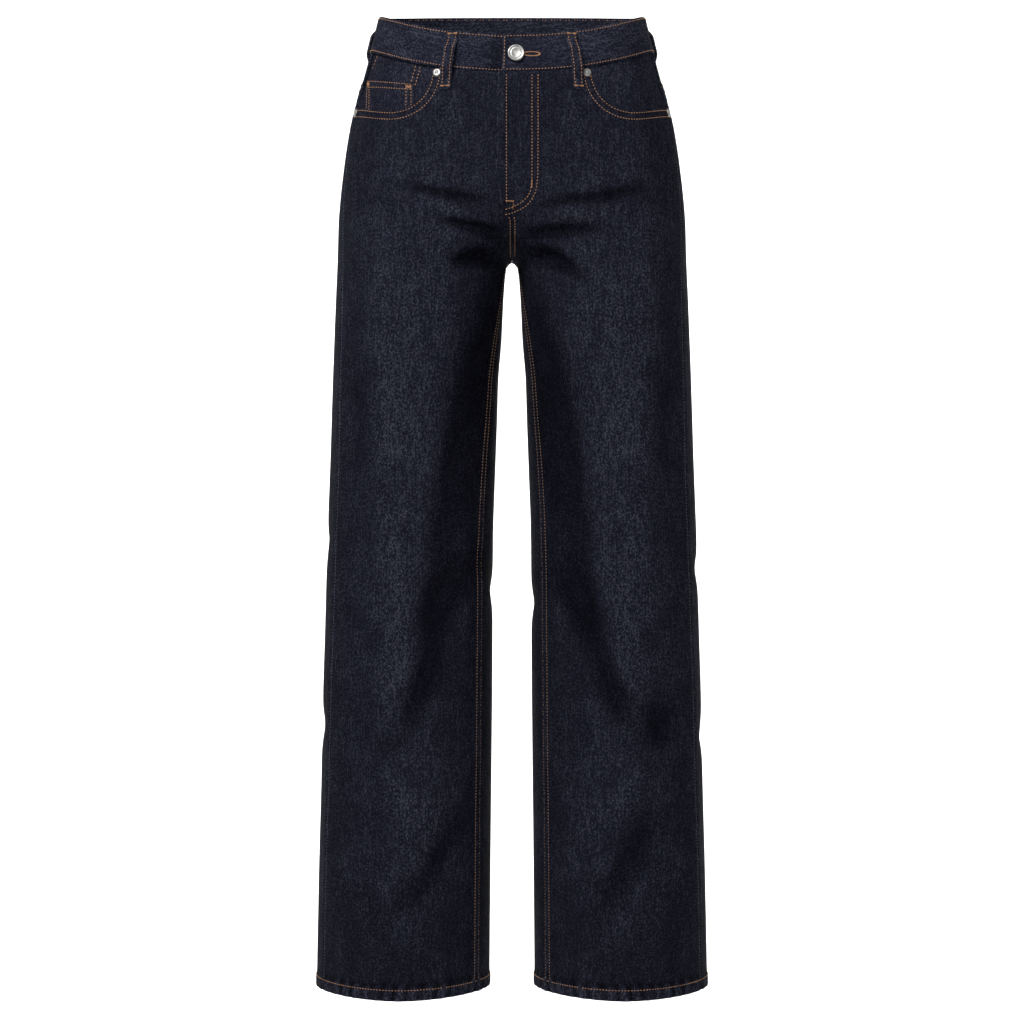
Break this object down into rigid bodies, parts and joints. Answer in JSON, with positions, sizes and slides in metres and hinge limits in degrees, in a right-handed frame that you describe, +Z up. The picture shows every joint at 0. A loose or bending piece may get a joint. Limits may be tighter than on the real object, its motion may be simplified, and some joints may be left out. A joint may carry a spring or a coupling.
{
  "type": "wide-leg jeans",
  "caption": "Hollow wide-leg jeans with a dipped waistband, belt loops, scooped front pockets, a buttoned fly front, a back yoke and straight long legs.",
  "frame": {"origin": "middle of the waist opening, level with the waistband's top edge at the sides", "axes": "+Z up towards the waist, the front faces -Y, and the wearer's left is at +X"},
  "size_m": [0.4298, 0.2387, 1.0833],
  "materials": {
    "denim_front": "unwashed dark indigo twill, matte",
    "denim_back": "unwashed dark indigo twill, matte",
    "denim_waistband": "unwashed dark indigo twill, matte, doubled",
    "denim_pocket": "unwashed dark indigo twill, matte",
    "denim_belt_loop": "unwashed dark indigo twill, matte, folded",
    "silver_metal": "satin silver-coloured cast metal"
  },
  "bodies": {
    "root": {"waistband": "denim_waistband", "front_left": "denim_front", "front_right": "denim_front", "back_left": "denim_back", "back_right": "denim_back", "yoke_left": "denim_back", "yoke_right": "denim_back", "pocket_facing_left": "denim_pocket", "pocket_facing_right": "denim_pocket", "coin_pocket": "denim_pocket", "back_pocket_left": "denim_back", "back_pocket_right": "denim_back", "belt_loop_front_left": "denim_belt_loop", "belt_loop_front_right": "denim_belt_loop", "belt_loop_side_left": "denim_belt_loop", "belt_loop_side_right": "denim_belt_loop", "belt_loop_back": "denim_belt_loop", "button": "silver_metal", "rivet_inner_left": "silver_metal", "rivet_inner_right": "silver_metal", "rivet_outer_left": "silver_metal", "rivet_outer_right": "silver_metal"}
  },
  "joints": []
}
